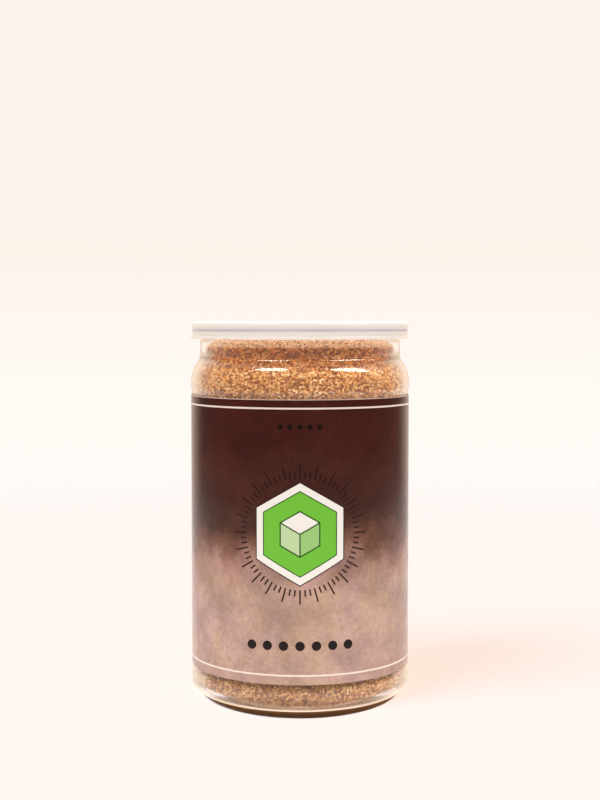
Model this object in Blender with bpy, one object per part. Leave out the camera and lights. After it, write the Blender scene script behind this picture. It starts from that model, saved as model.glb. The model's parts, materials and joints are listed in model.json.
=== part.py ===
"""A clear PET jar full of coarse brown sugar, with a wrap label and a shut snap lid.

Metres, +Z up. The origin is the middle of the foot, on the surface that the jar
stands on. Every piece is turned about the Z axis.
"""

import math
import random

import bmesh
import bpy
from mathutils import Vector, noise

MM = 0.001
GAP = 0.3 * MM                      # room between pieces that touch
SIDES = 56                          # facets round the Z axis
MERGE = 0.01 * MM                   # points closer than this are one
SHARP_ANGLE = 40.0                  # degrees, edges sharper than this stay hard

# Jar: blown PET, one wall thickness all over
JAR_RADIUS = 42.0 * MM
WALL = 0.9 * MM
HEEL = 4.5 * MM                     # rounding between the foot and the side
FOOT_RING_INSIDE = 33.0 * MM        # inner edge of the flat ring that it stands on
PUSH_UP_RADIUS = 29.0 * MM          # raised middle of the foot
PUSH_UP = 1.6 * MM
SHOULDER = 12.0 * MM                # rounding at the top of the side
SHOULDER_HEIGHT = 119.5 * MM        # where the side starts to round in
NECK_RADIUS = 38.5 * MM
NECK_FILLET = 2.6 * MM              # where the shoulder meets the upright neck
FLANGE_FILLET = 2.3 * MM
FLANGE_RADIUS = 40.5 * MM
FLANGE_BOTTOM = 136.2 * MM

# Label: a sleeve that lies in a shallow panel of the jar, flush with its side
LABEL_THICKNESS = 0.3 * MM
LABEL_BOTTOM = 10.8 * MM
LABEL_TOP = 114.1 * MM
PANEL_STEP = 0.7 * MM               # height over which the wall steps in to the panel

# Lid: moulded LDPE, snapped over the flange
LID_RADIUS = 41.95 * MM             # at the lip
RIM_RADIUS = 41.75 * MM             # of the stacking rim, outside
SKIRT_RADIUS = 41.5 * MM
LID_WALL = 0.9 * MM
LID_BOTTOM = 135.4 * MM
LID_TOP = 142.0 * MM
LID_PANEL = 140.0 * MM              # top of the sunk middle
LID_PANEL_RADIUS = 37.6 * MM
RIM_OUTER_ROUNDING = 1.4 * MM
RIM_INNER_ROUNDING = 0.8 * MM
LIP_HEIGHT = 1.1 * MM
LIP_CHAMFER = 0.2 * MM
LID_GROOVE = 138.9 * MM             # between the skirt and the stacking rim
LID_GROOVE_WIDTH = 0.8 * MM
LID_GROOVE_DEPTH = 0.6 * MM
SEAL_RIB_BOTTOM = 136.6 * MM        # the rib inside the flange
LEDGE_HEIGHT = 137.45 * MM          # inside the skirt, just above the flange
SNAP = 0.25 * MM                    # how far the bead reaches in under the flange
SKIRT_ROOM = 0.35 * MM              # between the flange and the skirt
RIM_HOLLOW_RADIUS = 40.3 * MM

# Sugar: fills the jar to the neck, and is heaped from there
FILL_HEIGHT = 132.2 * MM            # level where it leaves the wall
HEAP_HEIGHT = 137.6 * MM
HEAP_SLOPE = 38.0                   # degrees, the sugar's angle of repose
EDGE_DROP = 0.5 * MM                # the wall's last ring lies this far under the edge
DENT = 0.25 * MM                    # how deep the gaps between grains are at the wall
DENTS_FROM = 34.0 * MM              # radius, so that the foot stays flat
HEAP_BUMP = 0.5 * MM
HEAP_BUMP_WIDTH = 5.0 * MM
CREST_RINGS = (0.0, 0.35, 0.65, 0.9)    # parts of the way out to the slope
SLOPE_RINGS = (0.9, 0.6, 0.3, 0.0)      # parts of the way up the slope


def clear_scene():
    for thing in list(bpy.data.objects):
        bpy.data.objects.remove(thing, do_unlink=True)


def finish(name, color, roughness, alpha=1.0):
    """A Principled material that is not a metal."""
    material = bpy.data.materials.new(name)
    material.use_nodes = True
    shader = material.node_tree.nodes["Principled BSDF"]
    shader.inputs["Base Color"].default_value = (*color, 1.0)
    shader.inputs["Roughness"].default_value = roughness
    shader.inputs["Metallic"].default_value = 0.0
    shader.inputs["Alpha"].default_value = alpha
    return material


def arc(middle, radius, start, end, steps):
    """Points (r, z) along an arc round middle, from one angle in degrees to another."""
    points = []
    for step in range(steps + 1):
        turn = math.radians(start + (end - start) * step / steps)
        points.append((middle[0] + radius * math.cos(turn), middle[1] + radius * math.sin(turn)))
    return points


def turned(outline, closed=False):
    """A bmesh turned about Z from an outline (r, z); a closed outline makes a ring."""
    bm = bmesh.new()
    points = [bm.verts.new((r, 0.0, z)) for r, z in outline]
    edges = [bm.edges.new(pair) for pair in zip(points, points[1:])]
    if closed:
        edges.append(bm.edges.new((points[-1], points[0])))
    bmesh.ops.spin(bm, geom=points + edges, cent=(0, 0, 0), axis=(0, 0, 1), angle=math.tau,
                   steps=SIDES, use_merge=True)
    bmesh.ops.remove_doubles(bm, verts=bm.verts, dist=MERGE)
    bmesh.ops.recalc_face_normals(bm, faces=bm.faces)
    return bm


def add_piece(name, bm, material):
    mesh = bpy.data.meshes.new(name)
    bm.to_mesh(mesh)
    bm.free()
    mesh.materials.append(material)
    mesh.shade_smooth()
    mesh.set_sharp_from_angle(angle=math.radians(SHARP_ANGLE))
    piece = bpy.data.objects.new(name, mesh)
    bpy.context.collection.objects.link(piece)
    return piece


def wall_outline(inset):
    """The jar's side from its heel up to its flange, moved inwards by inset."""
    radius = JAR_RADIUS - inset
    panel = radius - LABEL_THICKNESS - GAP
    heel = arc((JAR_RADIUS - HEEL, HEEL), HEEL - inset, -90, 0, steps=4)
    label_panel = [
        (radius, LABEL_BOTTOM - GAP - PANEL_STEP),
        (panel, LABEL_BOTTOM - GAP),
        (panel, LABEL_TOP + GAP),
        (radius, LABEL_TOP + GAP + PANEL_STEP),
    ]
    shoulder_middle = (JAR_RADIUS - SHOULDER, SHOULDER_HEIGHT)
    fillet_r = NECK_RADIUS + NECK_FILLET
    turn = math.acos((fillet_r - shoulder_middle[0]) / (SHOULDER + NECK_FILLET))
    fillet_middle = (fillet_r, SHOULDER_HEIGHT + (SHOULDER + NECK_FILLET) * math.sin(turn))
    turn = math.degrees(turn)
    shoulder = arc(shoulder_middle, SHOULDER - inset, 0, turn, steps=5)
    neck = arc(fillet_middle, NECK_FILLET + inset, 180 + turn, 180, steps=3)
    flange_middle = (NECK_RADIUS + FLANGE_FILLET, FLANGE_BOTTOM - FLANGE_FILLET)
    reach = math.degrees(math.acos((FLANGE_RADIUS - flange_middle[0]) / (FLANGE_FILLET + inset)))
    flange = arc(flange_middle, FLANGE_FILLET + inset, 180, reach, steps=4)
    return heel + label_panel + shoulder + neck[1:] + flange


def foot_outline(inset):
    """The underside from the flat ring to the middle, moved inwards by inset."""
    return [(FOOT_RING_INSIDE, inset), (PUSH_UP_RADIUS, PUSH_UP + inset), (0.0, PUSH_UP + inset)]


def make_jar():
    outside = wall_outline(0.0)[::-1] + foot_outline(0.0)
    inside = foot_outline(WALL)[::-1] + wall_outline(WALL)
    pet = finish("Clear PET", (0.90, 0.93, 0.93), 0.05, alpha=0.25)
    return add_piece("jar", turned(inside + outside), pet)


def make_label():
    outside = JAR_RADIUS
    inside = JAR_RADIUS - LABEL_THICKNESS
    outline = [
        (inside, LABEL_BOTTOM),
        (inside, LABEL_TOP),
        (outside, LABEL_TOP),
        (outside, LABEL_BOTTOM),
    ]
    film = finish("Label film", (0.16, 0.07, 0.05), 0.3)
    return add_piece("label", turned(outline, closed=True), film)


def lid_outside():
    """From the middle of the sunk panel over the rim and down the skirt to the lip."""
    groove = RIM_RADIUS - LID_GROOVE_DEPTH
    panel = [(0.0, LID_PANEL), (LID_PANEL_RADIUS, LID_PANEL)]
    inner = (LID_PANEL_RADIUS + RIM_INNER_ROUNDING, LID_TOP - RIM_INNER_ROUNDING)
    rim_inside = arc(inner, RIM_INNER_ROUNDING, 180, 90, steps=3)
    outer = (RIM_RADIUS - RIM_OUTER_ROUNDING, LID_TOP - RIM_OUTER_ROUNDING)
    rim_outside = arc(outer, RIM_OUTER_ROUNDING, 90, 0, steps=3)
    side = [
        (RIM_RADIUS, LID_GROOVE + 0.5 * LID_GROOVE_WIDTH),
        (groove, LID_GROOVE + 0.2 * LID_GROOVE_WIDTH),
        (groove, LID_GROOVE - 0.2 * LID_GROOVE_WIDTH),
        (SKIRT_RADIUS, LID_GROOVE - 0.5 * LID_GROOVE_WIDTH),
        (SKIRT_RADIUS, LID_BOTTOM + LIP_HEIGHT),
        (LID_RADIUS, LID_BOTTOM + 0.8 * LIP_HEIGHT),
        (LID_RADIUS, LID_BOTTOM + LIP_CHAMFER),
        (LID_RADIUS - LIP_CHAMFER, LID_BOTTOM),
    ]
    return panel + rim_inside + rim_outside + side


def lid_inside():
    """From the lip up past the flange, into the hollow rim, round the rib to the middle."""
    bead = FLANGE_RADIUS - SNAP
    skirt = FLANGE_RADIUS + SKIRT_ROOM
    rib = LID_PANEL_RADIUS + LID_WALL
    return [
        (FLANGE_RADIUS, LID_BOTTOM),
        (bead, LID_BOTTOM + LIP_CHAMFER),
        (skirt, LID_BOTTOM + 3.0 * LIP_CHAMFER),
        (skirt, LEDGE_HEIGHT),
        (RIM_HOLLOW_RADIUS, LEDGE_HEIGHT),
        (RIM_HOLLOW_RADIUS, LID_TOP - LID_WALL),
        (rib, LID_TOP - LID_WALL),
        (rib, SEAL_RIB_BOTTOM),
        (LID_PANEL_RADIUS, SEAL_RIB_BOTTOM),
        (LID_PANEL_RADIUS, LID_PANEL - LID_WALL),
        (0.0, LID_PANEL - LID_WALL),
    ]


def make_lid():
    ldpe = finish("Natural LDPE", (0.88, 0.86, 0.83), 0.35, alpha=0.85)
    return add_piece("lid", turned(lid_outside() + lid_inside()), ldpe)


def sugar_outline():
    """From the middle of the heap down its slope, then down the wall to the floor."""
    inset = WALL + GAP
    edge = NECK_RADIUS - inset
    run = (HEAP_HEIGHT - FILL_HEIGHT) / math.tan(math.radians(HEAP_SLOPE))
    crest = edge - run
    top = [(crest * part, HEAP_HEIGHT) for part in CREST_RINGS]
    slope = []
    for part in SLOPE_RINGS:
        slope.append((edge - run * part, FILL_HEIGHT + (HEAP_HEIGHT - FILL_HEIGHT) * part))
    wall = [(r, z) for r, z in wall_outline(inset) if z < FILL_HEIGHT - EDGE_DROP]
    return top + slope + wall[::-1] + foot_outline(inset)


def make_sugar():
    """The turned fill, with dents where grains meet the wall and bumps on the heap."""
    bm = turned(sugar_outline())
    draw = random.Random(7)
    for vert in bm.verts:
        radius = math.hypot(vert.co.x, vert.co.y)
        if vert.co.z > FILL_HEIGHT + EDGE_DROP:
            vert.co.z += HEAP_BUMP * noise.noise(Vector(vert.co) / HEAP_BUMP_WIDTH)
        elif radius > DENTS_FROM:
            inward = 1.0 - draw.uniform(0.0, DENT) / radius
            vert.co.x *= inward
            vert.co.y *= inward
    bmesh.ops.triangulate(bm, faces=bm.faces)
    crystals = finish("Brown sugar", (0.62, 0.30, 0.11), 0.6)
    return add_piece("sugar", bm, crystals)


clear_scene()
make_jar()
make_sugar()
make_label()
make_lid()
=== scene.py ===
"""Looks for a clear jar of coarse brown sugar with a printed wrap label and a snap lid.

Metres, +Z up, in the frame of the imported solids: the jar stands on z = 0, and the badge
on its label faces -Y, where the camera stands.
"""

import json
import math

import bmesh
import bpy
from mathutils import Matrix, Vector, noise

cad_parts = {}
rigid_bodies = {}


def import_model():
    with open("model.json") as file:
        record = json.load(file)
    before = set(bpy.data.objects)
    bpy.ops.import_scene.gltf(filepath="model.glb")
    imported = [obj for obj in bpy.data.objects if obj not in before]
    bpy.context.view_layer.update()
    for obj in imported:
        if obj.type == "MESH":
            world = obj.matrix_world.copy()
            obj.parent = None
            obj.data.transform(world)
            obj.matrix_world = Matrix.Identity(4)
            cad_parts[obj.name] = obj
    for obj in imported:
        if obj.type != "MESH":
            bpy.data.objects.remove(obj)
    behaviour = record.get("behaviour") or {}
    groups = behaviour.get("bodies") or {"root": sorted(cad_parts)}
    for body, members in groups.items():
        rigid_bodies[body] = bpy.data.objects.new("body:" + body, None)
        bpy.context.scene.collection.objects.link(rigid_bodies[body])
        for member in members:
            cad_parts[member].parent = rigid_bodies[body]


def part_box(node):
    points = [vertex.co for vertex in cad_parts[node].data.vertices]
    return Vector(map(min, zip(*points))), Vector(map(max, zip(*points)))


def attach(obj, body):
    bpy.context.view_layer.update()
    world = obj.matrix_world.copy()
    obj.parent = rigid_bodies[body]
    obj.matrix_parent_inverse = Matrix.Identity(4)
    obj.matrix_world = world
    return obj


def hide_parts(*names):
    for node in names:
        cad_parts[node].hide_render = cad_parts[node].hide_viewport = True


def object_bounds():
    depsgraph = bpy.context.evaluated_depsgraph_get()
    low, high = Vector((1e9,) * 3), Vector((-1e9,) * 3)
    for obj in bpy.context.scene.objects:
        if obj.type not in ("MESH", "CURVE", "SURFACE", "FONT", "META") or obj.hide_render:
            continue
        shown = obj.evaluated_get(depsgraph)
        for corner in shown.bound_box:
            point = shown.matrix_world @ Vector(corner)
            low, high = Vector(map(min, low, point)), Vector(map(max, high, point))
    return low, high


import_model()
cad_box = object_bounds()
MM = 0.001


# ---------------------------------------------------------------- camera
# The camera stands level with the lid and looks down a little, so that the rim of the lid
# is seen almost edge on. Its distance is 13 times the jar's radius.
CAMERA_DISTANCE = 546.0 * MM
CAMERA_HEIGHT = 140.5 * MM
CAMERA_TILT = math.radians(3.02)
LENS = 63.62                        # mm
SENSOR_WIDTH = 36.0                 # mm
NEAREST = 10.0 * MM                 # what is closer than this is not drawn


def show(name, data):
    """Puts a new object with this data at the origin of the scene."""
    thing = bpy.data.objects.new(name, data)
    bpy.context.scene.collection.objects.link(thing)
    return thing


camera = show("camera", bpy.data.cameras.new("camera"))
camera.data.sensor_width = SENSOR_WIDTH
camera.data.lens = LENS
camera.data.clip_start = NEAREST
camera.location = (0.0, -CAMERA_DISTANCE, CAMERA_HEIGHT)
camera.rotation_euler = (math.pi / 2 - CAMERA_TILT, 0.0, 0.0)
bpy.context.scene.camera = camera
bpy.context.scene.view_settings.view_transform = "Standard"


# ---------------------------------------------------------------- table and studio light
# A round white table in a pale room. A broad soft light hangs overhead, two narrow strips in
# front draw the streaks on the shoulder, and two lamps make the table glow white.
TABLE_RADIUS = 0.9
TABLE_SIDES = 128
FADE_FROM = 0.5 * TABLE_RADIUS      # from here out, the table fades into the room
FADE_TO = 0.97 * TABLE_RADIUS
TABLE_GLOW = 1.6                    # strength of the light that it throws back

SHADE_RADIUS = 38.2 * MM            # of the dark crescent that starts at the foot
SHADE_AHEAD = 8.6 * MM              # how far it reaches in front
SHADE_HEIGHT = 1.0 * MM
SHADE_SIDES = 96
SHADE_BACK = 0.1 * MM               # it is cut off behind this line across the jar

OVERHEAD_SPREAD = math.radians(76)
OVERHEAD_POWER = 4.8
TABLE_LAMP_SPREAD = math.radians(60)
TABLE_LAMP_POWER = 29.9
LEFT_LAMP_SPREAD = math.radians(35)
LEFT_LAMP_POWER = 11.7
LEFT_LAMP_TURN = (math.radians(24), math.radians(-36), 0.0)

# Each strip runs between two bearings in degrees (turn to the right, height), as seen from a
# point on the jar's axis, and has a power in watts.
STRIPS = (
    ("left strip", ((-55.5, 40.3), (-13.5, 44.8)), 4.2),
    ("right strip", ((37.0, 43.0), (84.0, 29.0)), 5.4),
)
STRIP_DISTANCE = 1.1
STRIP_WIDTH = 0.14
STRIP_CENTRE = cad_box[1].z * 0.8   # the height of that point

# How bright the room is, by how far a ray heads away from the camera, on what it lights and
# through clear walls. The backdrop's colours go by how far a ray heads up.
ROOM_LIGHT = {"From Min": 0.52, "From Max": 0.86, "To Min": 0.32, "To Max": 1.1}
ROOM_THROUGH_WALLS = {"From Min": -0.3, "From Max": 0.4, "To Min": 0.7, "To Max": 1.12}
UNMIRRORED_SHARE = 0.5              # what is left of it where it isn't mirrored
BACKDROP_RISE = {"From Min": -0.15, "From Max": 0.21}
BACKDROP = ((0.0, "#FFFBF8"), (0.15, "#FFFAF5"), (0.25, "#FFFBF5"), (0.41, "#FFF7F1"), (0.56, "#FCF4EB"),
            (0.79, "#FBF2ED"))


def linear(code, alpha=1.0):
    """An sRGB hex colour such as "#C9A487" as linear RGBA."""
    parts = [int(code[at:at + 2], 16) / 255 for at in (1, 3, 5)]
    return [p / 12.92 if p <= 0.04045 else ((p + 0.055) / 1.055) ** 2.4 for p in parts] + [alpha]


def add_node(tree, kind, inputs=None, stops=None, **settings):
    """Adds a node with its settings, and a ramp's stops as (place, hex colour).

    An input is set to a value, or linked from a socket or from a node's first output. It goes
    by its number where several inputs share a name.
    """
    node = tree.nodes.new(kind)
    for name, value in settings.items():
        setattr(node, name, value)
    for name, value in (inputs or {}).items():
        if isinstance(value, bpy.types.Node):
            value = value.outputs[0]
        if isinstance(value, bpy.types.NodeSocket):
            tree.links.new(value, node.inputs[name])
        else:
            node.inputs[name].default_value = value
    if stops:
        elements = node.color_ramp.elements
        for end in (0, -1):
            elements[end].position = stops[end][0]
            elements[end].color = linear(stops[end][1])
        for at, code in stops[1:-1]:
            elements.new(at).color = linear(code)
    return node


def new_material(name):
    """An empty node material and its tree."""
    material = bpy.data.materials.new(name)
    material.use_nodes = True
    material.node_tree.nodes.clear()
    return material, material.node_tree


# Pale matt laminate: it has no mirror image, and shade on it is warm. What it throws back at
# the jar is an even glow, brighter than what the camera sees, because a photograph holds back
# its whites. The glow is only met by chance, so it isn't sampled as a lamp.
laminate, tree = new_material("pale matt laminate")
matt = add_node(tree, "ShaderNodeBsdfDiffuse", {"Color": linear("#8E6A4C")})
bounce = add_node(tree, "ShaderNodeEmission", {"Color": linear("#FFF8F1"), "Strength": TABLE_GLOW})
path = add_node(tree, "ShaderNodeLightPath")
top = add_node(tree, "ShaderNodeMixShader", {0: path.outputs["Is Diffuse Ray"], 1: matt, 2: bounce})
place = add_node(tree, "ShaderNodeTexCoord")
from_middle = add_node(tree, "ShaderNodeVectorMath", {0: place.outputs["Object"]}, operation="LENGTH")
fade = add_node(tree, "ShaderNodeMapRange", {"Value": from_middle.outputs["Value"], "From Min": FADE_FROM,
                                             "From Max": FADE_TO}, interpolation_type="SMOOTHSTEP")
room = add_node(tree, "ShaderNodeBsdfTransparent")
faded = add_node(tree, "ShaderNodeMixShader", {0: fade, 1: top, 2: room})
add_node(tree, "ShaderNodeOutputMaterial", {"Surface": faded})
laminate.cycles.emission_sampling = "NONE"

bm = bmesh.new()
bmesh.ops.create_circle(bm, cap_ends=True, segments=TABLE_SIDES, radius=TABLE_RADIUS)
table = show("table", bpy.data.meshes.new("table"))
bm.to_mesh(table.data)
bm.free()
table.data.materials.append(laminate)

# In front of the foot the heel keeps light off the table. A thin crescent that only the table
# lamp meets stops it there.
bm = bmesh.new()
bmesh.ops.create_circle(bm, segments=SHADE_SIDES, radius=SHADE_RADIUS)
bmesh.ops.translate(bm, verts=bm.verts, vec=(0.0, 0.0, SHADE_HEIGHT))
behind = [vert for vert in bm.verts if vert.co.y > SHADE_BACK]
bmesh.ops.delete(bm, geom=behind, context="VERTS")
outer = bmesh.ops.extrude_edge_only(bm, edges=bm.edges[:])
for vert in outer["geom"]:
    if isinstance(vert, bmesh.types.BMVert):
        vert.co.y += SHADE_AHEAD * vert.co.y / SHADE_RADIUS
crescent = show("shade", bpy.data.meshes.new("shade"))
bm.to_mesh(crescent.data)
bm.free()
crescent.data.materials.append(laminate)
crescent.visible_camera = False
crescent.visible_diffuse = False
crescent.visible_glossy = False
crescent.visible_transmission = False


def far_lamp(name, spread, power, code):
    """A far lamp that shines straight down, with a soft shadow."""
    lamp = show(name, bpy.data.lights.new(name, "SUN"))
    lamp.data.angle = spread
    lamp.data.energy = power
    lamp.data.color = linear(code)[:3]
    return lamp


def link_group(name, thing, state):
    """A collection that lets a lamp reach only this object, or all but this object."""
    group = bpy.data.collections.new(name)
    group.objects.link(thing)
    group.collection_objects[0].light_linking.link_state = state
    return group


# Two lamps reach the table alone, one from above and a weaker one from the left, whose soft
# shadow falls to the right. The light overhead reaches everything else. The two are bluish, so
# that the laminate's warm shade turns white in full light.
overhead = far_lamp("overhead light", OVERHEAD_SPREAD, OVERHEAD_POWER, "#FFFCF8")
overhead.visible_glossy = False
overhead.visible_transmission = False
table_lamp = far_lamp("table lamp", TABLE_LAMP_SPREAD, TABLE_LAMP_POWER, "#A1C6FF")
table_lamp.data.cycles.use_multiple_importance_sampling = False
left_lamp = far_lamp("left lamp", LEFT_LAMP_SPREAD, LEFT_LAMP_POWER, "#58A0FF")
left_lamp.data.cycles.use_multiple_importance_sampling = False
left_lamp.rotation_euler = LEFT_LAMP_TURN

only_table = link_group("only the table", table, "INCLUDE")
not_table = link_group("all but the table", table, "EXCLUDE")
only_shade = link_group("only the shade", crescent, "INCLUDE")
table_lamp.light_linking.receiver_collection = only_table
table_lamp.light_linking.blocker_collection = only_shade
left_lamp.light_linking.receiver_collection = only_table
overhead.light_linking.receiver_collection = not_table

for name, ends, power in STRIPS:
    tips = []
    for turn, lift in ends:
        turn, lift = math.radians(turn), math.radians(lift)
        right = math.sin(turn) * math.cos(lift)
        ahead = -math.cos(turn) * math.cos(lift)
        tips.append(STRIP_DISTANCE * Vector((right, ahead, math.sin(lift))))
    strip = show(name, bpy.data.lights.new(name, "AREA"))
    strip.data.shape = "ELLIPSE"
    strip.data.size = (tips[1] - tips[0]).length
    strip.data.size_y = STRIP_WIDTH
    strip.data.energy = power
    strip.data.color = linear("#FFF3E0")[:3]
    middle = (tips[0] + tips[1]) / 2
    strip.location = middle + Vector((0.0, 0.0, STRIP_CENTRE))
    lengthwise = (tips[1] - tips[0]).normalized()
    outward = middle.normalized()
    strip.rotation_euler = Matrix((lengthwise, outward.cross(lengthwise), outward)).transposed().to_euler()
    strip.visible_camera = False
    strip.visible_diffuse = False
    strip.visible_transmission = False

# The room is brightest behind the jar. Rays that light the jar, rays that came through it and
# the camera's own rays each meet their own level, because a photograph flattens its whites.
world = bpy.data.worlds.new("studio")
bpy.context.scene.world = world
world.use_nodes = True
tree = world.node_tree
tree.nodes.clear()
ray = add_node(tree, "ShaderNodeTexCoord")
heading = add_node(tree, "ShaderNodeSeparateXYZ", {0: ray.outputs["Generated"]})
wall = add_node(tree, "ShaderNodeMapRange", {"Value": heading.outputs["Y"], **ROOM_LIGHT},
                interpolation_type="SMOOTHSTEP")
path = add_node(tree, "ShaderNodeLightPath")
mirrored = add_node(tree, "ShaderNodeMapRange", {"Value": path.outputs["Is Glossy Ray"],
                                                 "To Min": UNMIRRORED_SHARE})
strength = add_node(tree, "ShaderNodeMath", {0: mirrored, 1: wall}, operation="MULTIPLY")
lit = add_node(tree, "ShaderNodeBackground", {"Color": linear("#FFE4D2"), "Strength": strength})
through = add_node(tree, "ShaderNodeMapRange", {"Value": heading.outputs["Y"], **ROOM_THROUGH_WALLS},
                   interpolation_type="SMOOTHSTEP")
bent = add_node(tree, "ShaderNodeBackground", {"Color": linear("#FFF6EC"), "Strength": through})
unseen = add_node(tree, "ShaderNodeMixShader", {0: path.outputs["Is Transmission Ray"], 1: lit, 2: bent})
rise = add_node(tree, "ShaderNodeMapRange", {"Value": heading.outputs["Z"], **BACKDROP_RISE})
backdrop = add_node(tree, "ShaderNodeValToRGB", {0: rise}, stops=BACKDROP)
seen = add_node(tree, "ShaderNodeBackground", {"Color": backdrop})
sky = add_node(tree, "ShaderNodeMixShader", {0: path.outputs["Is Camera Ray"], 1: unseen, 2: seen})
add_node(tree, "ShaderNodeOutputWorld", {"Surface": sky})


# ---------------------------------------------------------------- jar
# The jar is PET, blown in a mould from a hot preform: straight side with a shallow panel for
# the label, round shoulder, upright neck, thin flange for the lid, raised middle in the foot.
jar_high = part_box("jar")[1]
label_low, label_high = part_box("label")
JAR_RADIUS = jar_high.x
JAR_TOP = jar_high.z
WALL = 1.5 * MM
HEEL = 4.5 * MM                     # rounding between the foot and the side
HEEL_INSIDE = 5.5 * MM
FOOT_WALL = 0.5 * MM
FOOT_RING = 33.0 * MM               # inner edge of the flat ring that it stands on
PUSH_UP_RADIUS = 29.0 * MM
PUSH_UP = 1.6 * MM
PUSH_UP_BEND = 1.5 * MM
PANEL_DEPTH = 0.55 * MM
PANEL_STEP = 2.4 * MM               # height over which the wall steps in to the panel
PANEL_ROOM = 0.3 * MM               # between the label's edge and that step
PANEL_BENDS = (1.5 * MM, 1.0 * MM)  # at the side and at the panel
SHOULDER = 12.0 * MM
SHOULDER_START = 119.5 * MM
NECK_RADIUS = 38.5 * MM
NECK_WALL = 1.9 * MM
NECK_FILLET = 2.6 * MM
FLANGE_RADIUS = 40.5 * MM
FLANGE_BOTTOM = 136.2 * MM
FLANGE_FILLET = 1.9 * MM
FLANGE_SINK = 0.05 * MM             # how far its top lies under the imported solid's
ROUND = 224                         # facets round the jar, the label and the lid
JAR_BEND_STEPS = 10                 # in each rounding of the jar's outline
MERGE = 0.002 * MM                  # points closer than this are one
SHARP_ANGLE = 40                    # degrees, edges sharper than this stay hard

# The wall's finish and its painted light: the width of its waves, and the heights between which
# each other change comes in and the share that it reaches. The painted veil's slant goes from 0,
# facing, to 1, edge on.
WAVE_WIDTH = 25 * MM
FROST_AND_RIM_GLOW = 0.25                   # share of the stipple and painted rim light that lets light through
STIPPLE_AND_RIM_LIGHT = {"From Min": 1.9 * MM, "From Max": 1.1 * MM, "To Max": 0.3}
HAZE = {"From Min": 10.0 * MM, "From Max": 8.0 * MM, "To Max": 0.05}
VEIL_UNDER_NECK = {"From Min": 131.0 * MM, "From Max": 129.5 * MM}
VEIL_IN_CORNER = {"From Min": 125.5 * MM, "From Max": 127.0 * MM, "To Min": 0.55, "To Max": 0.94}
VEIL_UNDER_LIP = {"From Min": 133.6 * MM, "From Max": 134.6 * MM, "To Max": 0.94}
VEIL_SLANT = {"From Min": 0.45, "From Max": 0.8}


def rounded_line(corners, segments=6):
    """A wire through corners (r, z) or (r, z, rounding) in the XZ plane."""
    bm = bmesh.new()
    verts = [bm.verts.new((corner[0], 0.0, corner[1])) for corner in corners]
    for pair in zip(verts, verts[1:]):
        bm.edges.new(pair)
    for vert, corner in zip(verts, corners):
        if len(corner) == 3:
            before, after = (edge.other_vert(vert).co - vert.co for edge in vert.link_edges)
            turn = math.pi - before.angle(after)
            bmesh.ops.bevel(bm, geom=[vert], offset=corner[2] * math.tan(turn / 2), segments=segments,
                            profile=0.5, affect="VERTICES", material=-1)
    return bm


def in_order(bm):
    """The same mesh with its points and faces in a fixed order, which a spin doesn't keep.

    The crystals go by the numbers of the faces that they lie on, so without this they would lie
    elsewhere in each run.
    """
    points = sorted(bm.verts, key=lambda vert: vert.co[:])
    for number, vert in enumerate(points):
        vert.index = number
    rings = []
    for face in bm.faces:
        ring = [vert.index for vert in face.verts]
        first = ring.index(min(ring))
        rings.append(ring[first:] + ring[:first])
    ordered = bmesh.new()
    placed = [ordered.verts.new(vert.co) for vert in points]
    for ring in sorted(rings):
        ordered.faces.new([placed[number] for number in ring])
    bm.free()
    return ordered


def turn_round(bm, sides=ROUND):
    """Turns a wire about the jar's axis into a closed shell with its faces outwards."""
    bmesh.ops.spin(bm, geom=bm.verts[:] + bm.edges[:], axis=(0, 0, 1), angle=math.tau, steps=sides,
                   use_merge=True)
    bmesh.ops.remove_doubles(bm, verts=bm.verts, dist=MERGE)
    bmesh.ops.recalc_face_normals(bm, faces=bm.faces)
    return in_order(bm)


def finish_piece(name, bm, material, node, sharp=SHARP_ANGLE):
    """Makes the bmesh a smooth-shaded piece on the jar's body, which stands for that CAD node."""
    piece = show(name, bpy.data.meshes.new(name))
    bm.to_mesh(piece.data)
    bm.free()
    piece.data.materials.append(material)
    piece.data.shade_smooth()
    piece.data.set_sharp_from_angle(angle=math.radians(sharp))
    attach(piece, "root")
    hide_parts(node)
    return piece


def side_corners(inset, neck_inset):
    """The jar's side from above its heel to its neck, moved in by inset, and at the neck by neck_inset."""
    radius = JAR_RADIUS - inset
    panel = radius - PANEL_DEPTH
    neck = NECK_RADIUS - neck_inset
    slope = math.acos((NECK_RADIUS + NECK_FILLET - JAR_RADIUS + SHOULDER) / (SHOULDER + NECK_FILLET))
    touch_r = JAR_RADIUS - SHOULDER + (SHOULDER - inset) * math.cos(slope)
    touch_z = SHOULDER_START + (SHOULDER - inset) * math.sin(slope)
    side_bend, neck_bend = (touch_z + (touch_r - r) / math.tan(slope) for r in (radius, neck))
    return [
        (radius, label_low.z - PANEL_ROOM - PANEL_STEP, PANEL_BENDS[0]),
        (panel, label_low.z - PANEL_ROOM, PANEL_BENDS[1]),
        (panel, label_high.z + PANEL_ROOM, PANEL_BENDS[1]),
        (radius, label_high.z + PANEL_ROOM + PANEL_STEP, PANEL_BENDS[0]),
        (radius, side_bend, SHOULDER - inset),
        (neck, neck_bend, NECK_FILLET + inset),
    ]


def foot_corners(floor, wall, heel):
    """The jar's foot from its raised middle to its heel, at this floor height and wall radius."""
    return [
        (0.0, PUSH_UP + floor),
        (PUSH_UP_RADIUS, PUSH_UP + floor, PUSH_UP_BEND),
        (FOOT_RING, floor, PUSH_UP_BEND),
        (wall, floor, heel),
    ]
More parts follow.
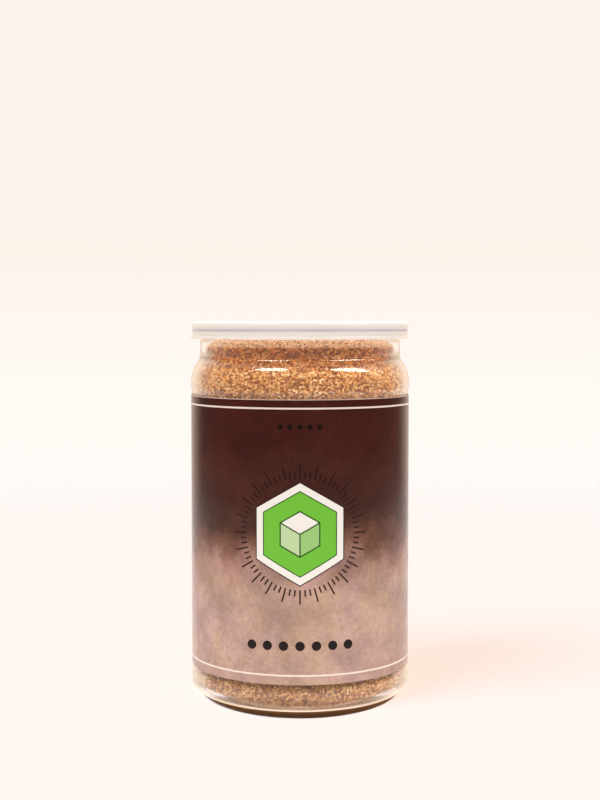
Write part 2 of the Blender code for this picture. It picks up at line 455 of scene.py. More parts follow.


# Blown PET is as clear and glossy as glass, with an IOR of 1.57 and a faint waviness from the
# mould, which bends what is seen at its edges. The foot's rim is stippled pale, which also paints
# in the light that the thick base carries. A pale veil is painted over the wall where it is seen
# on a slant, standing in for light caught in the thick wall: most of all in the corner under the
# neck and under the lid's lip, and not on the upright neck.
pet, tree = new_material("clear blown PET")
place = add_node(tree, "ShaderNodeTexCoord")
waves = add_node(tree, "ShaderNodeTexNoise", {"Vector": place.outputs["Object"], "Scale": 1 / WAVE_WIDTH,
                                              "Detail": 1.0})
wavy = add_node(tree, "ShaderNodeBump", {"Height": waves, "Strength": 0.06, "Distance": 1.0 * MM})
clear = add_node(tree, "ShaderNodeBsdfPrincipled", {"Base Color": linear("#FEFDFB"), "Roughness": 0.06,
                                                    "IOR": 1.57, "Transmission Weight": 1.0,
                                                    "Normal": wavy})
axes = add_node(tree, "ShaderNodeSeparateXYZ", {0: place.outputs["Object"]})
height = axes.outputs["Z"]
haze = add_node(tree, "ShaderNodeMapRange", {"Value": height, **HAZE})
# Painted rim light: the stipple pales the foot's rim.
stipple_and_rim_light = add_node(tree, "ShaderNodeMapRange", {"Value": height, **STIPPLE_AND_RIM_LIGHT})
frosting_and_rim_light = add_node(tree, "ShaderNodeMath", {0: haze, 1: stipple_and_rim_light}, operation="ADD")
pale_matt = add_node(tree, "ShaderNodeBsdfDiffuse", {"Color": linear("#FFEEDC")})
glow = add_node(tree, "ShaderNodeBsdfTranslucent", {"Color": linear("#FFEBDC")})
frost_and_rim_light = add_node(tree, "ShaderNodeMixShader", {0: FROST_AND_RIM_GLOW, 1: pale_matt, 2: glow})
frosted_and_rim_lit = add_node(tree, "ShaderNodeMixShader", {0: frosting_and_rim_light, 1: clear, 2: frost_and_rim_light})

# Painted veil: pale light laid over the wall where it is seen on a slant.
under_neck = add_node(tree, "ShaderNodeMapRange", {"Value": height, **VEIL_UNDER_NECK})
corner = add_node(tree, "ShaderNodeMapRange", {"Value": height, **VEIL_IN_CORNER})
under_lip = add_node(tree, "ShaderNodeMapRange", {"Value": height, **VEIL_UNDER_LIP})
share = add_node(tree, "ShaderNodeMath", {0: under_neck, 1: corner, 2: under_lip}, operation="MULTIPLY_ADD")
facing = add_node(tree, "ShaderNodeLayerWeight", {"Blend": 0.5})
slant = add_node(tree, "ShaderNodeMapRange", {"Value": facing.outputs["Facing"], **VEIL_SLANT})
thick = add_node(tree, "ShaderNodeMath", {0: slant, 1: share}, operation="MULTIPLY")
path = add_node(tree, "ShaderNodeLightPath")
let_in = add_node(tree, "ShaderNodeMath", {0: 1.0, 1: path.outputs["Is Diffuse Ray"]}, operation="SUBTRACT")
painted_veil = add_node(tree, "ShaderNodeMath", {0: thick, 1: let_in}, operation="MULTIPLY")
pale = add_node(tree, "ShaderNodeBsdfDiffuse", {"Color": linear("#FFEFDA")})
with_painted_veil = add_node(tree, "ShaderNodeMixShader", {0: painted_veil, 1: frosted_and_rim_lit, 2: pale})
add_node(tree, "ShaderNodeOutputMaterial", {"Surface": with_painted_veil})

flange_top = JAR_TOP - FLANGE_SINK
outside = foot_corners(0.0, JAR_RADIUS, HEEL) + side_corners(0.0, 0.0)
outside += [(NECK_RADIUS, FLANGE_BOTTOM, FLANGE_FILLET), (FLANGE_RADIUS, FLANGE_BOTTOM)]
inside = foot_corners(FOOT_WALL, JAR_RADIUS - WALL, HEEL_INSIDE) + side_corners(WALL, NECK_WALL)
inside += [(NECK_RADIUS - NECK_WALL, flange_top, FLANGE_FILLET + 0.8 * MM), (FLANGE_RADIUS, flange_top)]
wall_line = rounded_line(outside + inside[::-1], segments=JAR_BEND_STEPS)
jar = finish_piece("jar_wall", turn_round(wall_line), pet, "jar")
jar.visible_shadow = False          # clear PET lets the light in


# ---------------------------------------------------------------- sugar
# Coarse free-flowing brown sugar fills the jar and is heaped in its neck. The core has the
# hollows between the crystals, which lie on it one by one and press against the wall.
CORE_DEPTH = 0.4 * MM               # how far the core lies inside the jar's wall
CORE_ROUND = 240                    # facets round the core
CORE_STEP = 1.0 * MM                # between its rings
LONGEST_SEEN = 60.0 * MM            # a longer run of the core lies behind the label
NECK_GAP = 0.5 * MM                 # where the fill has settled away from the neck
FILL_HEIGHT = 132.0 * MM
HEAP_HEIGHT = 137.0 * MM
HEAP_SLOPE = math.radians(40)
HEAP_CREST = 4.0 * MM               # rounding between the slope and the top
HEAP_BUMP = 0.6 * MM
HEAP_BUMP_WIDTH = 6.0 * MM
HOLLOW_WIDTH = 1.3 * MM
HOLLOW_DEPTH = 0.4                  # mm
HOLLOW_SWING = 0.5                  # of that depth, from hollow to rise
HOLLOW_SINK = 0.3                   # of that depth, of the level between them
SHOWN_BELOW = label_low.z + 2.0 * MM
SHOWN_ABOVE = label_high.z - 2.0 * MM
FLOOR_SLOPE = -0.8                  # faces that look down more than this lie on the floor

core_wall = WALL + CORE_DEPTH
core_floor = FOOT_WALL + 2.0 * CORE_DEPTH
heap_edge = NECK_RADIUS - NECK_WALL - NECK_GAP - CORE_DEPTH
heap_top = heap_edge - (HEAP_HEIGHT - FILL_HEIGHT) / math.tan(HEAP_SLOPE)
core_line = foot_corners(core_floor, JAR_RADIUS - core_wall, HEEL_INSIDE - 0.2 * MM)
core_line += side_corners(core_wall, NECK_WALL + NECK_GAP + CORE_DEPTH)
core_line += [(heap_edge, FILL_HEIGHT), (heap_top, HEAP_HEIGHT, HEAP_CREST), (0.0, HEAP_HEIGHT)]
bm = rounded_line(core_line)
for edge in bm.edges[:]:
    length = edge.calc_length()
    if 1.5 * CORE_STEP < length < LONGEST_SEEN:
        bmesh.ops.subdivide_edges(bm, edges=[edge], cuts=int(length / CORE_STEP))
bm = turn_round(bm, CORE_ROUND)
bm.normal_update()
for vert in bm.verts:
    hollow = noise.noise(vert.co / HOLLOW_WIDTH) * HOLLOW_SWING - HOLLOW_SINK
    heaped = vert.co.z > FILL_HEIGHT + 1.0 * MM
    lift = noise.noise(vert.co / HEAP_BUMP_WIDTH) * HEAP_BUMP if heaped else 0.0
    vert.co += vert.normal * hollow * HOLLOW_DEPTH * MM + Vector((0.0, 0.0, lift))

# The core only shows between crystals, so it is the dark amber of syrup-coated sugar in shade.
syrup, tree = new_material("sugar core, molasses film in shade")
place = add_node(tree, "ShaderNodeTexCoord")
spots = add_node(tree, "ShaderNodeTexNoise", {"Vector": place.outputs["Object"], "Scale": 1 / (1.1 * MM),
                                              "Detail": 2.0})
amber = add_node(tree, "ShaderNodeMix", {0: spots, 6: linear("#7C4418"), 7: linear("#B27036")},
                 data_type="RGBA")
dull = add_node(tree, "ShaderNodeBsdfPrincipled", {"Base Color": amber.outputs[2], "Roughness": 0.6})
add_node(tree, "ShaderNodeOutputMaterial", {"Surface": dull})
core = finish_piece("sugar_core", bm, syrup, "sugar")

# The bed is the part of the core that shows, with neither the floor nor what the label hides.
bed_mesh = core.data.copy()
bm = bmesh.new()
bm.from_mesh(bed_mesh)
for level in (SHOWN_BELOW, SHOWN_ABOVE):
    bmesh.ops.bisect_plane(bm, geom=bm.verts[:] + bm.edges[:] + bm.faces[:], plane_co=(0, 0, level),
                           plane_no=(0, 0, 1))
hidden = [face for face in bm.faces if SHOWN_BELOW < face.calc_center_median().z < SHOWN_ABOVE
          or (face.normal.z < FLOOR_SLOPE and face.calc_center_median().xy.length < FOOT_RING)]
bmesh.ops.delete(bm, geom=hidden, context="FACES")
bm.to_mesh(bed_mesh)
bm.free()

# Crystals are blunt little blocks, each with two corners cut off and a lean to one side. A
# block is given by its length, its thickness and the way that each cut faces.
GRAIN = 1.08 * MM                   # size of a common crystal
GRAIN_PITCH = 0.86 * MM             # least room between two middles
GRAINS_PER_AREA = 6.0 / MM**2       # tried, of which the pitch leaves as many as fit
GRAIN_SIZES = (0.7, 1.15)           # smallest and largest, in common crystals
GRAIN_WIDTH = 0.9
GRAIN_LEAN = (0.15, 0.1)
CUT_DEPTH = 0.52                    # of a cut's face from the middle
BLOCKS = (
    (1.1, 0.85, ((1, 1, 1), (-1, 1, -0.6))),
    (1.0, 0.8, ((1, 0.3, 1), (-1, -1, 0.8))),
    (1.15, 0.9, ((1, 1, -0.5), (-1, 0.7, 1))),
    (0.95, 0.95, ((1, -1, 1), (-1, 1, -1))),
)

shapes = bpy.data.collections.new("crystal shapes")
for count, (long, flat, cuts) in enumerate(BLOCKS):
    bm = bmesh.new()
    bmesh.ops.create_cube(bm, size=1.0)
    bmesh.ops.scale(bm, verts=bm.verts, vec=(long, GRAIN_WIDTH, flat))
    for cut in cuts:
        cut = Vector(cut).normalized()
        made = bmesh.ops.bisect_plane(bm, geom=bm.verts[:] + bm.edges[:] + bm.faces[:],
                                      plane_co=cut * CUT_DEPTH, plane_no=cut, clear_outer=True)
        rim = [edge for edge in made["geom_cut"] if isinstance(edge, bmesh.types.BMEdge)]
        bmesh.ops.edgeloop_fill(bm, edges=rim)
    bmesh.ops.transform(bm, matrix=Matrix.Shear("XY", 4, GRAIN_LEAN), verts=bm.verts)
    bmesh.ops.scale(bm, verts=bm.verts, vec=(GRAIN, GRAIN, GRAIN))
    bmesh.ops.recalc_face_normals(bm, faces=bm.faces)
    shape = bpy.data.objects.new(f"crystal shape {count}", bpy.data.meshes.new("crystal shape"))
    bm.to_mesh(shape.data)
    bm.free()
    shapes.objects.link(shape)


def scatter(name, material, first, last):
    """Lays crystals of one kind on the bed: those whose drawn number lies from first to last."""
    flow = bpy.data.node_groups.new(name, "GeometryNodeTree")
    flow.interface.new_socket("bed", in_out="INPUT", socket_type="NodeSocketGeometry")
    flow.interface.new_socket("crystals", in_out="OUTPUT", socket_type="NodeSocketGeometry")
    bed = add_node(flow, "NodeGroupInput")
    spread = add_node(flow, "GeometryNodeDistributePointsOnFaces",
                      {"Mesh": bed, "Distance Min": GRAIN_PITCH, "Density Max": GRAINS_PER_AREA, "Seed": 4},
                      distribute_method="POISSON")
    draw = add_node(flow, "FunctionNodeRandomValue", {2: 0.0, 3: 1.0, "Seed": 11})
    from_first = add_node(flow, "FunctionNodeCompare", {0: draw.outputs[1], 1: first},
                          operation="GREATER_EQUAL")
    under_last = add_node(flow, "FunctionNodeCompare", {0: draw.outputs[1], 1: last}, operation="LESS_THAN")
    of_kind = add_node(flow, "FunctionNodeBooleanMath", {0: from_first, 1: under_last})
    blocks = add_node(flow, "GeometryNodeCollectionInfo", {0: shapes, 1: True, 2: True})
    pick = add_node(flow, "FunctionNodeRandomValue", {4: 0, 5: len(BLOCKS) - 1, "Seed": 12},
                    data_type="INT")
    tumble = add_node(flow, "FunctionNodeRandomValue", {0: (0, 0, 0), 1: (math.tau,) * 3, "Seed": 13},
                      data_type="FLOAT_VECTOR")
    turned = add_node(flow, "FunctionNodeEulerToRotation", {0: tumble})
    size = add_node(flow, "FunctionNodeRandomValue",
                    {0: (GRAIN_SIZES[0],) * 3, 1: (GRAIN_SIZES[1],) * 3, "Seed": 14},
                    data_type="FLOAT_VECTOR")
    lay = add_node(flow, "GeometryNodeInstanceOnPoints",
                   {"Points": spread, "Selection": of_kind, "Instance": blocks, "Pick Instance": True,
                    "Instance Index": pick.outputs[2], "Rotation": turned, "Scale": size})
    tone = add_node(flow, "FunctionNodeRandomValue", {2: 0.0, 3: 1.0, "Seed": 15})
    mark = add_node(flow, "GeometryNodeStoreNamedAttribute",
                    {0: lay, "Name": "tone", "Value": tone.outputs[1]}, domain="INSTANCE")
    loose = add_node(flow, "GeometryNodeRealizeInstances", {0: mark})
    add_node(flow, "NodeGroupOutput", {0: loose})
    holder = show(name, bed_mesh)
    holder.modifiers.new("scatter", "NODES").node_group = flow
    bpy.context.view_layer.update()
    graph = bpy.context.evaluated_depsgraph_get()
    mesh = bpy.data.meshes.new_from_object(holder.evaluated_get(graph))
    bpy.data.objects.remove(holder)
    mesh.name = name
    mesh.materials.clear()
    mesh.materials.append(material)
    piece = show(name, mesh)
    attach(piece, "root")
    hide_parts("sugar")


# Painted shade and light: colours that multiply a crystal's own, from the shoulder up to the
# fill's edge, paint the neck into the shade of the lid's skirt, redder where light came through
# sugar. Above that edge the heap is painted paler, where light through the lid falls on it.
IN_NECK = {"From Min": 124.0 * MM, "From Max": 132.0 * MM}
NECK_SHADE = ((0.0, "#FFFFFF"), (0.2, "#D6C2B2"), (0.5, "#E2BE8E"), (1.0, "#FAD6A6"))
HEAP_PAINTED_LIGHT = {"From Min": 132.2 * MM, "From Max": 132.7 * MM, "To Max": 0.6}


def crystal(name, palest, darkest):
    """Raw sugar crystal, IOR 1.56: glossy facets over a syrup tint that differs from grain to grain."""
    material, tree = new_material(name)
    tone = add_node(tree, "ShaderNodeAttribute", attribute_name="tone")
    tint = add_node(tree, "ShaderNodeMix", {0: tone.outputs["Fac"], 6: linear(palest), 7: linear(darkest)},
                    data_type="RGBA")
    place = add_node(tree, "ShaderNodeTexCoord")
    axes = add_node(tree, "ShaderNodeSeparateXYZ", {0: place.outputs["Object"]})
    # Painted shade in the neck, by height.
    in_neck = add_node(tree, "ShaderNodeMapRange", {"Value": axes.outputs["Z"], **IN_NECK})
    neck_shade = add_node(tree, "ShaderNodeValToRGB", {0: in_neck}, stops=NECK_SHADE)
    shaded = add_node(tree, "ShaderNodeMix", {0: 1.0, 6: tint.outputs[2], 7: neck_shade}, data_type="RGBA",
                      blend_type="MULTIPLY")
    # Painted light on the heap above the fill's edge.
    heap_painted_light = add_node(tree, "ShaderNodeMapRange", {"Value": axes.outputs["Z"], **HEAP_PAINTED_LIGHT})
    heaped = add_node(tree, "ShaderNodeMix", {0: heap_painted_light, 6: shaded.outputs[2], 7: linear("#FFEFD0")},
                      data_type="RGBA")
    facet = add_node(tree, "ShaderNodeBsdfPrincipled", {"Base Color": heaped.outputs[2], "Roughness": 0.3,
                                                        "IOR": 1.56})
    glass = add_node(tree, "ShaderNodeBsdfTransparent", {"Color": linear("#C0874F")})
    path = add_node(tree, "ShaderNodeLightPath")
    grain = add_node(tree, "ShaderNodeMixShader", {0: path.outputs["Is Shadow Ray"], 1: facet, 2: glass})
    add_node(tree, "ShaderNodeOutputMaterial", {"Surface": grain})
    return material


# Three kinds, by how much syrup they hold. Each casts an amber shadow, as a clear grain does.
scatter("sugar_crystals_pale", crystal("pale raw sugar crystal", "#FDD59E", "#F4C280"), 0.0, 0.3)
scatter("sugar_crystals_golden", crystal("golden raw sugar crystal", "#EEB671", "#DE9D55"), 0.3, 0.75)
scatter("sugar_crystals_dark", crystal("dark raw sugar crystal", "#C88442", "#AC6E30"), 0.75, 1.01)
for shape in list(shapes.objects):
    bpy.data.objects.remove(shape)


# ---------------------------------------------------------------- label
# The label is a strip of white film, printed in flat colours and varnished, wrapped round the
# jar's panel and glued to itself in a lap at the back.
FILM = 0.2 * MM
FILM_ROOM = 0.02 * MM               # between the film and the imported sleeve's outside
LAP = 8.0 * MM
TUCK = 1.3                          # how deep the lap's inner end lies, in films
TUCKED_ROWS = 12                    # over which the inner end eases out to full radius
LABEL_RADIUS = label_high.x
LABEL_SHARP_ANGLE = 50              # degrees

bm = bmesh.new()
upright = [bm.verts.new((LABEL_RADIUS, 0.0, z)) for z in (label_low.z, label_high.z)]
bm.edges.new(upright)
bmesh.ops.rotate(bm, verts=bm.verts, matrix=Matrix.Rotation(math.pi / 2, 3, "Z"))
lap_turn = LAP / LABEL_RADIUS
steps = ROUND + round(ROUND * lap_turn / math.tau)
bmesh.ops.spin(bm, geom=bm.verts[:] + bm.edges[:], axis=(0, 0, 1), angle=math.tau * steps / ROUND,
               steps=steps)
for count, vert in enumerate(bm.verts):
    row = count // 2
    inward = FILM * TUCK * max(0.0, 1.0 - row / TUCKED_ROWS) + FILM_ROOM
    vert.co.xy *= (LABEL_RADIUS - inward) / LABEL_RADIUS
bmesh.ops.recalc_face_normals(bm, faces=bm.faces)
if bm.faces[:][0].normal.dot(bm.faces[:][0].calc_center_median()) < 0:
    bmesh.ops.reverse_faces(bm, faces=bm.faces)
bmesh.ops.solidify(bm, geom=bm.faces[:], thickness=FILM)
bmesh.ops.recalc_face_normals(bm, faces=bm.faces)
bm = in_order(bm)

# The ground's tones, from dark brown at the top to clouded pinkish tan. Lengths are in
# millimetres from here on, as is the pattern's space, with heights above the table.
FADE_DOWN = {"From Min": 98.0, "From Max": 44.0}
FADE = ((0.0, "#451D17"), (0.2, "#4A261E"), (0.41, "#472319"), (0.56, "#523226"), (0.7, "#7E5A4C"),
        (0.85, "#B3948A"), (1.0, "#C5ABA2"))
CLOUD_WIDTH = 18                    # of the clouds in which the tones meet
CLOUD_LIFT = 13.0                   # how far a cloud moves them up or down
BLOTCH_WIDTH = 13                   # of patches in a pinker and a yellower tan
BLOTCHES = {"From Min": 0.42, "From Max": 0.58}
BLOTCH_SHARE = 0.8
DRIFT_WIDTH = 16                    # of patches that are darker and lighter
DRIFT = {"From Min": 0.36, "From Max": 0.64, "To Min": 0.8, "To Max": 1.2}
SPECK_WIDTH = 1.6                   # the print's own specks are finer, and would not show
SPECKS = {"From Min": 0.3, "From Max": 0.7, "To Min": 0.86, "To Max": 1.12}
RIPPLE_WIDTH = 14

# Gloss-varnished film over print: smooth enough to pale at its edges, with the faint ripple of
# film laid on a blown wall.
film, artwork = new_material("printed and varnished film")
place = add_node(artwork, "ShaderNodeTexCoord")
spot = add_node(artwork, "ShaderNodeMapping", {"Vector": place.outputs["Object"], "Scale": (1 / MM,) * 3})
axes = add_node(artwork, "ShaderNodeSeparateXYZ", {0: spot})
height = axes.outputs["Z"]
ahead = add_node(artwork, "ShaderNodeMath", {0: axes.outputs["Y"], 1: -1.0}, operation="MULTIPLY")
bearing = add_node(artwork, "ShaderNodeMath", {0: axes.outputs["X"], 1: ahead}, operation="ARCTAN2")
along = add_node(artwork, "ShaderNodeMath", {0: bearing, 1: LABEL_RADIUS / MM}, operation="MULTIPLY")

clouds = add_node(artwork, "ShaderNodeTexNoise", {"Vector": spot, "Scale": 1 / CLOUD_WIDTH, "Detail": 6.0,
                                                  "Roughness": 0.68})
lifted = add_node(artwork, "ShaderNodeMapRange", {"Value": clouds, "To Min": -CLOUD_LIFT,
                                                  "To Max": CLOUD_LIFT})
level = add_node(artwork, "ShaderNodeMath", {0: height, 1: lifted}, operation="ADD")
fade = add_node(artwork, "ShaderNodeMapRange", {"Value": level, **FADE_DOWN})
wash = add_node(artwork, "ShaderNodeValToRGB", {0: fade}, stops=FADE)
blotches = add_node(artwork, "ShaderNodeTexNoise", {"Vector": spot, "Scale": 1 / BLOTCH_WIDTH,
                                                    "Detail": 6.0, "Roughness": 0.68})
warmth = add_node(artwork, "ShaderNodeMapRange", {"Value": blotches, **BLOTCHES})
tint = add_node(artwork, "ShaderNodeMix", {0: warmth, 6: linear("#F3E1E2"), 7: linear("#F4E4CE")},
                data_type="RGBA")
tinted = add_node(artwork, "ShaderNodeMix", {0: BLOTCH_SHARE, 6: wash, 7: tint.outputs[2]},
                  data_type="RGBA", blend_type="MULTIPLY")
specks = add_node(artwork, "ShaderNodeTexNoise", {"Vector": spot, "Scale": 1 / SPECK_WIDTH, "Detail": 3.0,
                                                  "Roughness": 0.7})
speckled = add_node(artwork, "ShaderNodeMapRange", {"Value": specks, **SPECKS})
drift = add_node(artwork, "ShaderNodeTexNoise", {"Vector": spot, "Scale": 1 / DRIFT_WIDTH, "Detail": 5.0,
                                                 "Roughness": 0.62})
drifting = add_node(artwork, "ShaderNodeMapRange", {"Value": drift, **DRIFT})
uneven = add_node(artwork, "ShaderNodeMath", {0: speckled, 1: drifting}, operation="MULTIPLY")
ground = add_node(artwork, "ShaderNodeVectorMath", {0: tinted.outputs[2], "Scale": uneven},
                  operation="SCALE")

# The badge: two nested hexagons with a sugar cube in line work, in a ring of fine rays. Each
# hexagon is given by half its width, and each set of rays by its turn in degrees and its tips.
INK = "#280D06"
CREAM = "#F8F5F1"
BRIGHT_GREEN = "#71C63A"
LINE_GREEN = "#1E560B"
BADGE_HEIGHT = 65.6
HEXAGONS = ((16.4, INK), (16.0, CREAM), (13.6, LINE_GREEN), (13.2, BRIGHT_GREEN))
RAYS = ((0.0, 25.4), (5.0, 22.6), (10.0, 22.6))
RAY_TURN = 15                       # between two rays of a set
RAY_START = 20.2
RAY_HALF = 0.3                      # half a ray's width
CUBE_HALF = 7.4
CUBE_FACES = (CREAM, "#C5DDAC", "#9ECE7E")
CUBE_FACE_HALF = 6.9
CUBE_EDGE_HALF = 0.25
CUBE_EDGE_REACH = 7.2
CUBE_TURN = 30                      # degrees, of its first edge
CUBE_EDGE_TURN = 120                # between its three inner edges
CUBE_EDGE_END = 9.0                 # past the hexagon, which cuts them off first
HEXAGON_TURN = 60                   # between a hexagon's sides

# The other print: two pale rules, the bare film at the top edge, and two rows of dots by their
# height, pitch, half length and dots' radius.
RULE_HEIGHTS = (14.2, 110.8)
RULE_WIDTH = 0.65
PRINT_TOP = 113.75
DOT_ROWS = ((25.0, 6.0, 21.0, 1.75), (104.2, 3.6, 9.0, 0.95))

up = add_node(artwork, "ShaderNodeMath", {0: height, 1: BADGE_HEIGHT}, operation="SUBTRACT")
flat = add_node(artwork, "ShaderNodeCombineXYZ", {0: along, 1: up})
from_badge = add_node(artwork, "ShaderNodeVectorMath", {0: flat}, operation="LENGTH")
reach = from_badge.outputs["Value"]
compass = add_node(artwork, "ShaderNodeMath", {0: up, 1: along}, operation="ARCTAN2")


def sector(start, width):
    """How far a point lies along and across the nearest of the spokes that stand width apart."""
    shifted = add_node(artwork, "ShaderNodeMath", {0: compass, 1: math.radians(start)},
                       operation="SUBTRACT")
    half = math.radians(width) / 2
    near = add_node(artwork, "ShaderNodeMath", {0: shifted, 1: half, 2: -half}, operation="WRAP")
    sides = []
    for part in ("COSINE", "SINE"):
        turned = add_node(artwork, "ShaderNodeMath", {0: near}, operation=part)
        sides.append(add_node(artwork, "ShaderNodeMath", {0: turned, 1: reach}, operation="MULTIPLY"))
    across = add_node(artwork, "ShaderNodeMath", {0: sides[1]}, operation="ABSOLUTE")
    return sides[0], across


def within(value, most, least=None):
    """1 where value lies under most, and over least where that is given, and 0 elsewhere."""
    under = add_node(artwork, "ShaderNodeMath", {0: value, 1: most}, operation="LESS_THAN")
    if least is None:
        return under
    over = add_node(artwork, "ShaderNodeMath", {0: value, 1: least}, operation="GREATER_THAN")
    return add_node(artwork, "ShaderNodeMath", {0: under, 1: over}, operation="MULTIPLY")


def overlap(*areas):
    """Where all of these areas lie over each other."""
    shared = areas[0]
    for area in areas[1:]:
        shared = add_node(artwork, "ShaderNodeMath", {0: shared, 1: area}, operation="MULTIPLY")
    return shared


def printed(under, area, code):
    """One flat ink over what is printed already."""
    over = add_node(artwork, "ShaderNodeMix", {0: area, 6: under, 7: linear(code)}, data_type="RGBA")
    return over.outputs[2]


ink = printed(ground.outputs[0], within(PRINT_TOP, height), "#CFB4AA")
for rule in RULE_HEIGHTS:
    ink = printed(ink, within(height, rule + RULE_WIDTH / 2, rule - RULE_WIDTH / 2), "#F6E6DE")
for start, tip in RAYS:
    ray_across = sector(start, RAY_TURN)[1]
    ink = printed(ink, overlap(within(ray_across, RAY_HALF), within(reach, tip, RAY_START)), INK)
hexagon = sector(0, HEXAGON_TURN)[0]
for half_width, code in HEXAGONS:
    ink = printed(ink, within(hexagon, half_width), code)
ink = printed(ink, within(hexagon, CUBE_HALF), LINE_GREEN)
shifted = add_node(artwork, "ShaderNodeMath", {0: compass, 1: math.radians(CUBE_TURN)},
                   operation="SUBTRACT")
around = add_node(artwork, "ShaderNodeMath", {0: shifted, 1: math.tau, 2: 0.0}, operation="WRAP")
for face, code in enumerate(CUBE_FACES):
    third = within(around, math.tau * (face + 1) / 3, math.tau * face / 3)
    ink = printed(ink, overlap(within(hexagon, CUBE_FACE_HALF), third), code)
edge_along, edge_across = sector(CUBE_TURN, CUBE_EDGE_TURN)
cube_edges = overlap(within(hexagon, CUBE_EDGE_REACH), within(edge_across, CUBE_EDGE_HALF),
                     within(edge_along, CUBE_EDGE_END, 0.0))
ink = printed(ink, cube_edges, LINE_GREEN)

for row_height, pitch, half_row, radius in DOT_ROWS:
    above = add_node(artwork, "ShaderNodeMath", {0: height, 1: row_height}, operation="SUBTRACT")
    beside = add_node(artwork, "ShaderNodeMath", {0: along, 1: pitch / 2, 2: -pitch / 2}, operation="WRAP")
    bead = add_node(artwork, "ShaderNodeCombineXYZ", {0: beside, 1: above})
    far = add_node(artwork, "ShaderNodeVectorMath", {0: bead}, operation="LENGTH")
    dots = overlap(within(far.outputs["Value"], radius), within(along, half_row, -half_row))
    ink = printed(ink, dots, "#150A06")

ripple = add_node(artwork, "ShaderNodeTexNoise", {"Vector": spot, "Scale": 1 / RIPPLE_WIDTH, "Detail": 2.0})
rippled = add_node(artwork, "ShaderNodeBump", {"Height": ripple, "Strength": 0.2, "Distance": 0.5 * MM})
varnish = add_node(artwork, "ShaderNodeBsdfPrincipled", {"Base Color": ink, "Roughness": 0.16,
                                                         "Specular IOR Level": 0.25, "Normal": rippled})
add_node(artwork, "ShaderNodeOutputMaterial", {"Surface": varnish})
finish_piece("label_film", bm, film, "label", sharp=LABEL_SHARP_ANGLE)


# ---------------------------------------------------------------- lid
# The lid is moulded natural LDPE, milky and flexible: a sunk panel inside a raised stacking
# rim, a groove, and a skirt whose lip snaps under the jar's flange.
lid_low, lid_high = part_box("lid")
LID_RADIUS = lid_high.x             # at the lip
LID_BOTTOM = lid_low.z
LID_TOP = lid_high.z
LID_WALL = 0.9 * MM
PANEL_TOP = 140.0 * MM
PANEL_RADIUS = 37.6 * MM
RIM_RADIUS = LID_RADIUS - 0.2 * MM
SKIRT_RADIUS = LID_RADIUS - 0.45 * MM
GROOVE_HEIGHT = 138.9 * MM
GROOVE_DEPTH = 0.5 * MM
LIP_HEIGHT = 1.1 * MM
LIP_FACE = 0.85 * MM                # up to here the lip is upright
SNAP = 0.25 * MM                    # how far the bead reaches in under the flange
SNAP_HEIGHT = 0.2 * MM
SNAP_TOP = 0.6 * MM
SKIRT_INSIDE = FLANGE_RADIUS + 0.35 * MM
LEDGE_HEIGHT = PANEL_TOP - 2.55 * MM    # inside the skirt, just above the flange
RIM_HOLLOW = FLANGE_RADIUS - 0.2 * MM
RIB_BOTTOM = 136.6 * MM             # of the rib inside the flange
LID_BEND_STEPS = 4                  # in each rounding of the lid's outline

# From the middle of the top, out and down the outside, and back up the inside.
lid_line = [
    (0.0, PANEL_TOP),
    (PANEL_RADIUS, PANEL_TOP, 0.3 * MM),
    (PANEL_RADIUS, LID_TOP, 0.7 * MM),
    (RIM_RADIUS, LID_TOP, 1.4 * MM),
    (RIM_RADIUS, GROOVE_HEIGHT + 0.6 * MM, 0.3 * MM),
    (RIM_RADIUS - GROOVE_DEPTH, GROOVE_HEIGHT + 0.1 * MM, 0.2 * MM),
    (RIM_RADIUS - GROOVE_DEPTH, GROOVE_HEIGHT - 0.1 * MM, 0.2 * MM),
    (SKIRT_RADIUS, GROOVE_HEIGHT - 0.5 * MM, 0.3 * MM),
    (SKIRT_RADIUS, LID_BOTTOM + LIP_HEIGHT, 0.15 * MM),
    (LID_RADIUS, LID_BOTTOM + LIP_FACE, 0.15 * MM),
    (LID_RADIUS, LID_BOTTOM + 0.15 * MM, 0.1 * MM),
    (LID_RADIUS - 0.2 * MM, LID_BOTTOM),
    (FLANGE_RADIUS + 0.1 * MM, LID_BOTTOM),
    (FLANGE_RADIUS - SNAP, LID_BOTTOM + SNAP_HEIGHT, 0.1 * MM),
    (SKIRT_INSIDE, LID_BOTTOM + SNAP_TOP, 0.1 * MM),
    (SKIRT_INSIDE, LEDGE_HEIGHT),
    (RIM_HOLLOW, LEDGE_HEIGHT),
    (RIM_HOLLOW, LID_TOP - LID_WALL, 0.3 * MM),
    (PANEL_RADIUS + LID_WALL, LID_TOP - LID_WALL, 0.3 * MM),
    (PANEL_RADIUS + LID_WALL, RIB_BOTTOM, 0.3 * MM),
    (PANEL_RADIUS, RIB_BOTTOM, 0.3 * MM),
    (PANEL_RADIUS, PANEL_TOP - LID_WALL, 0.2 * MM),
    (0.0, PANEL_TOP - LID_WALL),
]

# Natural LDPE scatters light inside, so it looks milky, with faint clouds where the melt met,
# and its moulded skin is satin. The thin panel shows the sugar's tan, the groove is painted
# greyer as shade, and some light comes through.
CLOUDING = 9 * MM                   # width of those clouds
THICK_WALL = {"From Min": PANEL_RADIUS - 1.0 * MM, "From Max": PANEL_RADIUS}
GROOVE_SHADE = {"From Min": 0.35 * MM, "From Max": 1.1 * MM, "To Min": 1.0, "To Max": 0.0}
LIGHT_THROUGH = 0.04

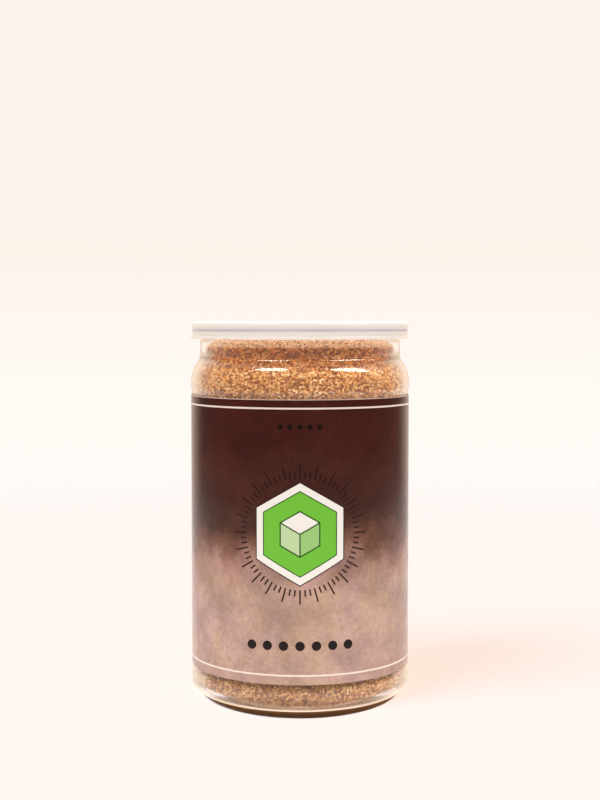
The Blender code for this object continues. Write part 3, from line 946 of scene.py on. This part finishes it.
ldpe, tree = new_material("natural LDPE, moulded satin")
place = add_node(tree, "ShaderNodeTexCoord")
mist = add_node(tree, "ShaderNodeTexNoise", {"Vector": place.outputs["Object"], "Scale": 1 / CLOUDING,
                                             "Detail": 2.0})
milk = add_node(tree, "ShaderNodeMix", {0: mist, 6: linear("#FCF4EE"), 7: linear("#FFFAF5")},
                data_type="RGBA")
over_sugar = add_node(tree, "ShaderNodeMix", {0: mist, 6: linear("#CDB08E"), 7: linear("#D9C1A4")},
                      data_type="RGBA")
axes = add_node(tree, "ShaderNodeSeparateXYZ", {0: place.outputs["Object"]})
outward = add_node(tree, "ShaderNodeCombineXYZ", {0: axes.outputs["X"], 1: axes.outputs["Y"]})
radius = add_node(tree, "ShaderNodeVectorMath", {0: outward}, operation="LENGTH")
thick = add_node(tree, "ShaderNodeMapRange", {"Value": radius.outputs["Value"], **THICK_WALL})
body = add_node(tree, "ShaderNodeMix", {0: thick, 6: over_sugar.outputs[2], 7: milk.outputs[2]},
                data_type="RGBA")
# Painted shade in the groove under the rim.
above = add_node(tree, "ShaderNodeMath", {0: axes.outputs["Z"], 1: GROOVE_HEIGHT}, operation="SUBTRACT")
off_groove = add_node(tree, "ShaderNodeMath", {0: above}, operation="ABSOLUTE")
painted_groove_shade = add_node(tree, "ShaderNodeMapRange", {"Value": off_groove, **GROOVE_SHADE})
tinged = add_node(tree, "ShaderNodeMix", {0: painted_groove_shade, 6: body.outputs[2], 7: linear("#E0DBE2")},
                  data_type="RGBA")
skin = add_node(tree, "ShaderNodeBsdfPrincipled", {"Base Color": tinged.outputs[2], "Roughness": 0.35,
                                                   "IOR": 1.51, "Specular IOR Level": 0.3})
glow = add_node(tree, "ShaderNodeBsdfTranslucent", {"Color": tinged.outputs[2]})
milky = add_node(tree, "ShaderNodeMixShader", {0: LIGHT_THROUGH, 1: skin, 2: glow})
passed = add_node(tree, "ShaderNodeMix", {0: thick, 6: linear("#FFFFFF"), 7: linear("#A8A29A")},
                  data_type="RGBA")
see_through = add_node(tree, "ShaderNodeBsdfTransparent", {"Color": passed.outputs[2]})
path = add_node(tree, "ShaderNodeLightPath")
lit_through = add_node(tree, "ShaderNodeMixShader", {0: path.outputs["Is Shadow Ray"], 1: milky,
                                                     2: see_through})
add_node(tree, "ShaderNodeOutputMaterial", {"Surface": lit_through})
lid_shell = turn_round(rounded_line(lid_line, segments=LID_BEND_STEPS))
finish_piece("lid_cap", lid_shell, ldpe, "lid")
